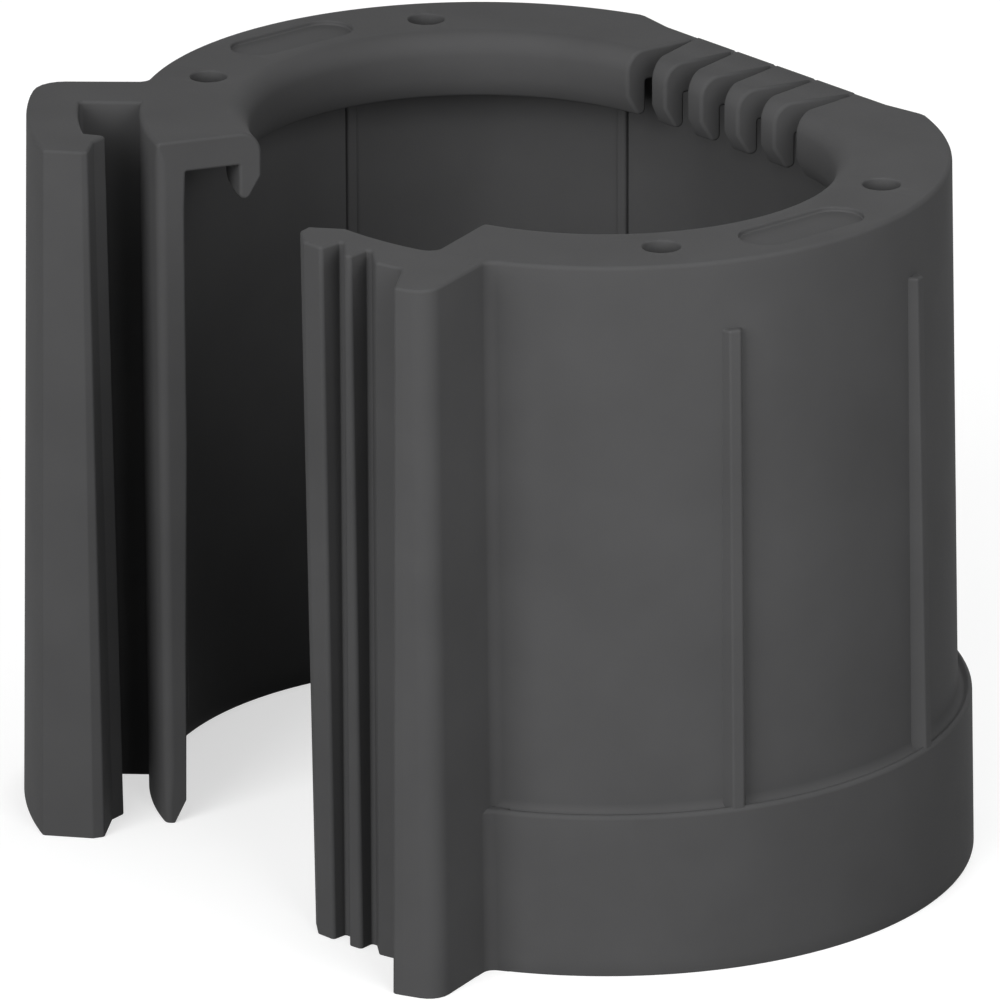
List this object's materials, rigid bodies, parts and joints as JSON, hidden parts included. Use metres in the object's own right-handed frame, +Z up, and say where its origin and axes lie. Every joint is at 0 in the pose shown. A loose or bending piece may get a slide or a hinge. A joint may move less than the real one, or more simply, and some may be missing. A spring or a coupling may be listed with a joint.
{
  "type": "conduit end bushing",
  "caption": "Hinged conduit end bushing: half rings on a slotted film hinge, with a rounded wire mouth, a skirt and a toothed tongue that clips into an ear; shown open.",
  "frame": {"origin": "middle of the open part's footprint on the plane of its base rim, on the plane of symmetry of the two half rings and level with their axes", "axes": "+Z up from the base rim to the flange with the wire mouth, +X towards the half ring that carries the toothed tongue, -Y towards the gap between the two ends"},
  "size_m": [0.0392, 0.0321, 0.0303],
  "materials": {
    "black_plastic": "fine matt moulded surface, near black"
  },
  "bodies": {
    "root": {"bushing_body": "black_plastic"}
  },
  "joints": []
}
